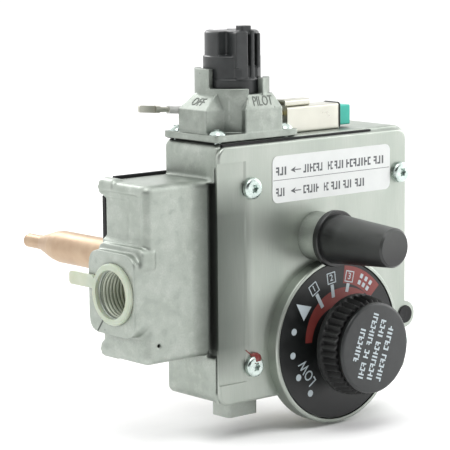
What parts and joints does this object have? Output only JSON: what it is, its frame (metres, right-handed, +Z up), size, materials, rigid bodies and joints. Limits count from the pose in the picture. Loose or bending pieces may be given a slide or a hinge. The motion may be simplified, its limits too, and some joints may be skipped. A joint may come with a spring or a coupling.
{
  "type": "gas valve",
  "caption": "Water heater gas control with a cast body, dial thermostat, pressure regulator, guarded gas cock, threaded side inlet and a copper rod-and-tube probe.",
  "frame": {"origin": "on the tank shank's axis, in the plane of the body's back face", "axes": "+Y along the shank and probe into the tank, +Z up towards the gas cock, gas inlet on -X, dial facing -Y"},
  "size_m": [0.1586, 0.2595, 0.1752],
  "materials": {
    "cast_aluminium": "bead-blasted die casting",
    "cover_metal": "brushed matt plate",
    "zinc_steel": "bright zinc plate",
    "spring_steel": "drawn wire",
    "invar": "ground rod",
    "nickel": "bright nickel plate",
    "copper": "drawn copper, slightly oxidised",
    "brass": "machined",
    "black_gasket": "matt fibre rubber",
    "black_rubber": "smooth",
    "black_plastic": "moulded, fine grain",
    "grey_plastic": "moulded, satin",
    "dial_black": "printed scale",
    "label_film": "printed polyester film",
    "natural_plastic": "translucent natural polyethylene",
    "teal_plastic": "moulded",
    "sleeve_plastic": "heat-shrunk sleeve",
    "blue_plastic": "moulded"
  },
  "bodies": {
    "valve": {"valve_body": "cast_aluminium", "front_cover": "cover_metal", "cover_gasket": "black_gasket", "cover_screws": "zinc_steel", "label_plate": "label_film", "back_plate": "black_gasket", "back_screws": "zinc_steel", "tank_shank": "zinc_steel", "immersion_tube": "copper", "main_valve_seat": "brass", "dial_bushing": "brass", "regulator_tower": "cast_aluminium", "regulator_diaphragm": "black_rubber", "bonnet": "cast_aluminium", "bonnet_gasket": "black_gasket", "bonnet_screws": "zinc_steel", "stem_seal": "black_rubber", "safety_seat": "brass", "magnet_housing": "cast_aluminium", "magnet_contact": "brass", "thermocouple_port": "cast_aluminium", "port_clamp": "zinc_steel", "burner_outlet_fitting": "cast_aluminium", "pilot_outlet_fitting": "brass", "pilot_adjust_cap": "zinc_steel", "pressure_tap_plug": "zinc_steel", "inlet_screen": "brass", "inlet_protector": "natural_plastic", "connector_housing": "nickel", "connector_liner": "black_plastic", "connector_block": "teal_plastic", "connector_terminal": "brass", "spade_receptacle": "nickel", "terminal_stand": "sleeve_plastic", "terminal_sleeve": "sleeve_plastic", "lead_terminal": "nickel", "main_valve_spring": "spring_steel", "regulator_spring": "spring_steel", "cock_spring": "spring_steel", "safety_spring": "spring_steel"},
    "gas_cock": {"cock_plug": "brass", "plug_spring": "spring_steel"},
    "cock_grip": {"cock_knob": "grey_plastic", "cock_stem": "brass"},
    "safety_valve": {"safety_disc": "black_rubber", "safety_stem": "zinc_steel", "magnet_armature": "nickel"},
    "dial": {"dial_scale": "dial_black", "dial_knob": "grey_plastic", "dial_shaft": "brass"},
    "adjuster": {"adjusting_screw": "zinc_steel"},
    "rod": {"thermostat_rod": "invar"},
    "lever": {"thermostat_lever": "spring_steel"},
    "main_valve": {"main_valve_disc": "black_rubber", "main_valve_stem": "brass", "snap_disc": "spring_steel"},
    "regulator_valve": {"regulator_poppet": "brass", "diaphragm_plate": "zinc_steel"},
    "regulator_plug": {"regulator_cap": "black_plastic", "conversion_plunger": "blue_plastic"}
  },
  "joints": [
    {"name": "gas_cock_turn", "type": "hinge", "parent": "valve", "child": "gas_cock", "pos_m": [-0.028, -0.0183, 0.07], "axis": [0, 0, 1], "range_deg": [-90, 90]},
    {"name": "gas_cock_push", "type": "slide", "parent": "gas_cock", "child": "cock_grip", "axis": [0, 0, -1], "range_m": [0, 0.004], "stiffness_N_per_m": 1500, "springref_m": -0.004, "deforming": ["cock_spring"]},
    {"name": "safety_valve_lift", "type": "slide", "parent": "valve", "child": "safety_valve", "axis": [0, 0, -1], "range_m": [0, 0.004], "stiffness_N_per_m": 300, "springref_m": -0.003, "deforming": ["safety_spring"]},
    {"name": "dial_turn", "type": "hinge", "parent": "valve", "child": "dial", "pos_m": [0.0116, -0.042, -0.0211], "axis": [0, -1, 0], "range_deg": [-165, 30]},
    {"name": "adjuster_travel", "type": "slide", "parent": "dial", "child": "adjuster", "axis": [0, -1, 0], "range_m": [-0.0002, 0.0008]},
    {"name": "rod_travel", "type": "slide", "parent": "valve", "child": "rod", "axis": [0, -1, 0], "range_m": [0, 0.0008]},
    {"name": "lever_tilt", "type": "hinge", "parent": "valve", "child": "lever", "pos_m": [0.0116, -0.0161, -0.0211], "axis": [0.8763, 0, 0.4818], "range_deg": [0, 2]},
    {"name": "main_valve_travel", "type": "slide", "parent": "valve", "child": "main_valve", "axis": [0, -1, 0], "range_m": [0, 0.0012], "stiffness_N_per_m": 400, "springref_m": -0.003, "deforming": ["main_valve_spring"]},
    {"name": "regulator_travel", "type": "slide", "parent": "valve", "child": "regulator_valve", "axis": [0, -1, 0], "range_m": [0, 0.0014], "stiffness_N_per_m": 300, "springref_m": -0.003, "deforming": ["regulator_spring", "regulator_diaphragm"]},
    {"name": "regulator_cap_pull", "type": "slide", "parent": "valve", "child": "regulator_plug", "axis": [0, -1, 0], "range_m": [0, 0.045]}
  ],
  "couplings": [
    {"joint": "safety_valve_lift", "follows": "gas_cock_push", "ratio": 1},
    {"joint": "adjuster_travel", "follows": "dial_turn", "m_per_rad": -0.00023873},
    {"joint": "lever_tilt", "follows": "rod_travel", "rad_per_m": 41.531},
    {"joint": "main_valve_travel", "follows": "rod_travel", "ratio": 1.3505}
  ]
}
